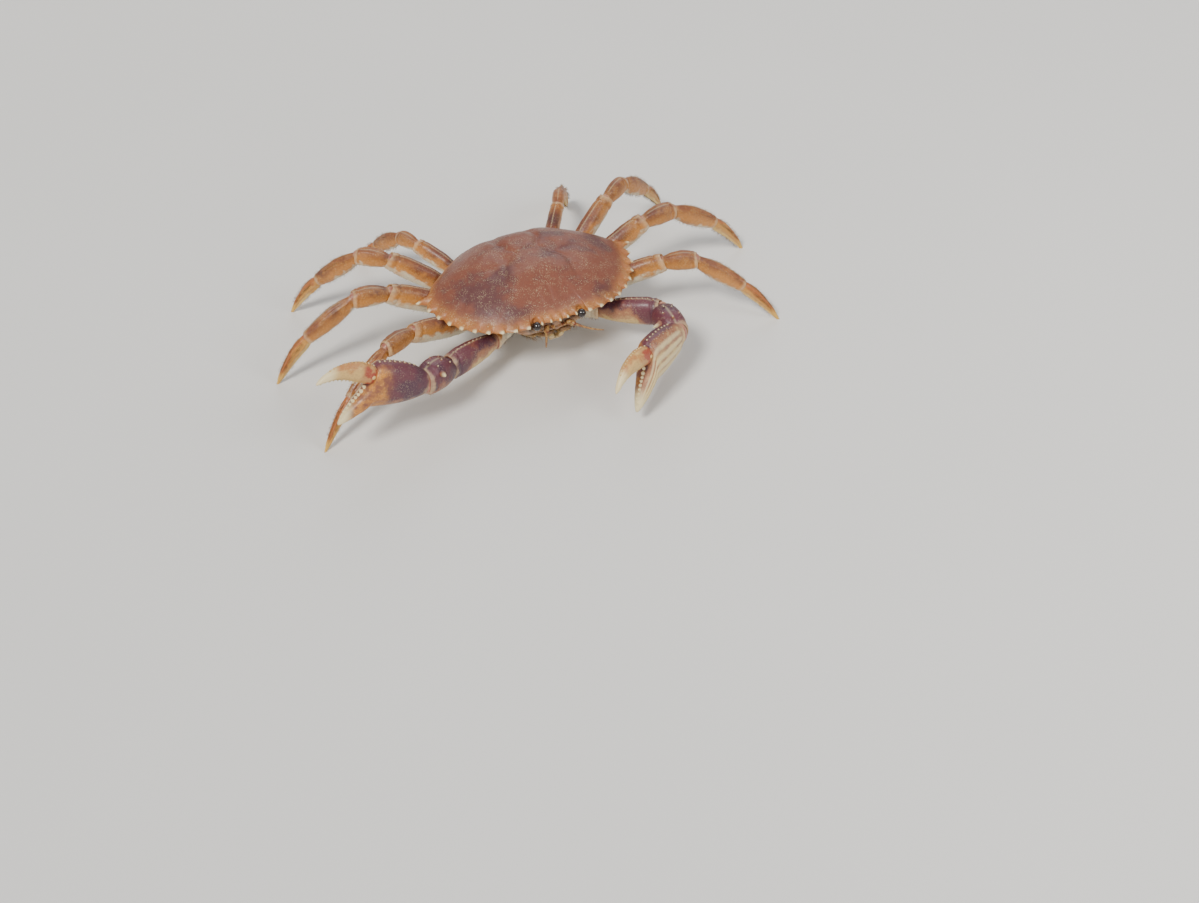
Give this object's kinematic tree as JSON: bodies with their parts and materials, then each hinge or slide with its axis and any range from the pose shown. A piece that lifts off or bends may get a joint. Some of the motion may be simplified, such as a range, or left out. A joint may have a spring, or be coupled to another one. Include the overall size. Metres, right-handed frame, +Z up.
{
  "type": "dungeness crab",
  "caption": "Life-size Dungeness crab standing on its walking legs, right claw held out to the side, left claw folded across the front, both claws open.",
  "frame": {"origin": "on the floor, under the middle of the crab's bounding box", "axes": "the crab faces -Y, its left side is +X and its right side -X, +Z is up"},
  "size_m": [0.3858, 0.266, 0.0848],
  "materials": {
    "back_shell": "satin reddish brown shell with fine pale granules and cream tooth tips",
    "under_shell": "satin grey to pinkish brown shell",
    "apron_shell": "satin cream shell with brown edges to its rings",
    "mouth_shell": "satin cream and ochre shell with brown bristles",
    "leg_shell": "satin orange brown shell above, cream below",
    "leg_tip": "satin amber shell with a horny tip",
    "claw_shell": "satin maroon shell with cream ridges, teeth and finger tip",
    "claw_finger": "satin cream shell with white teeth",
    "eye_surface": "glossy black eye on a short brown stalk",
    "feeler_shell": "dull brown"
  },
  "bodies": {
    "root": {"claw_right_finger": "claw_finger", "claw_right_palm": "claw_shell", "claw_right_carpus": "claw_shell", "claw_right_merus": "claw_shell", "claw_right_hip": "leg_shell", "leg_1_right_dactyl": "leg_tip", "leg_1_right_propodus": "leg_shell", "leg_1_right_carpus": "leg_shell", "leg_1_right_merus": "leg_shell", "leg_1_right_hip": "leg_shell", "leg_2_right_dactyl": "leg_tip", "leg_2_right_propodus": "leg_shell", "leg_2_right_carpus": "leg_shell", "leg_2_right_merus": "leg_shell", "leg_2_right_hip": "leg_shell", "leg_3_right_dactyl": "leg_tip", "leg_3_right_propodus": "leg_shell", "leg_3_right_carpus": "leg_shell", "leg_3_right_merus": "leg_shell", "leg_3_right_hip": "leg_shell", "leg_4_right_dactyl": "leg_tip", "leg_4_right_propodus": "leg_shell", "leg_4_right_carpus": "leg_shell", "leg_4_right_merus": "leg_shell", "leg_4_right_hip": "leg_shell", "claw_left_finger": "claw_finger", "claw_left_palm": "claw_shell", "claw_left_carpus": "claw_shell", "claw_left_merus": "claw_shell", "claw_left_hip": "leg_shell", "leg_1_left_dactyl": "leg_tip", "leg_1_left_propodus": "leg_shell", "leg_1_left_carpus": "leg_shell", "leg_1_left_merus": "leg_shell", "leg_1_left_hip": "leg_shell", "leg_2_left_dactyl": "leg_tip", "leg_2_left_propodus": "leg_shell", "leg_2_left_carpus": "leg_shell", "leg_2_left_merus": "leg_shell", "leg_2_left_hip": "leg_shell", "leg_3_left_dactyl": "leg_tip", "leg_3_left_propodus": "leg_shell", "leg_3_left_carpus": "leg_shell", "leg_3_left_merus": "leg_shell", "leg_3_left_hip": "leg_shell", "leg_4_left_dactyl": "leg_tip", "leg_4_left_propodus": "leg_shell", "leg_4_left_carpus": "leg_shell", "leg_4_left_merus": "leg_shell", "leg_4_left_hip": "leg_shell", "thorax": "under_shell", "carapace": "back_shell", "apron": "apron_shell", "mouth_plate_right": "mouth_shell", "eye_right": "eye_surface", "feeler_right": "feeler_shell", "mouth_plate_left": "mouth_shell", "eye_left": "eye_surface", "feeler_left": "feeler_shell"}
  },
  "joints": []
}
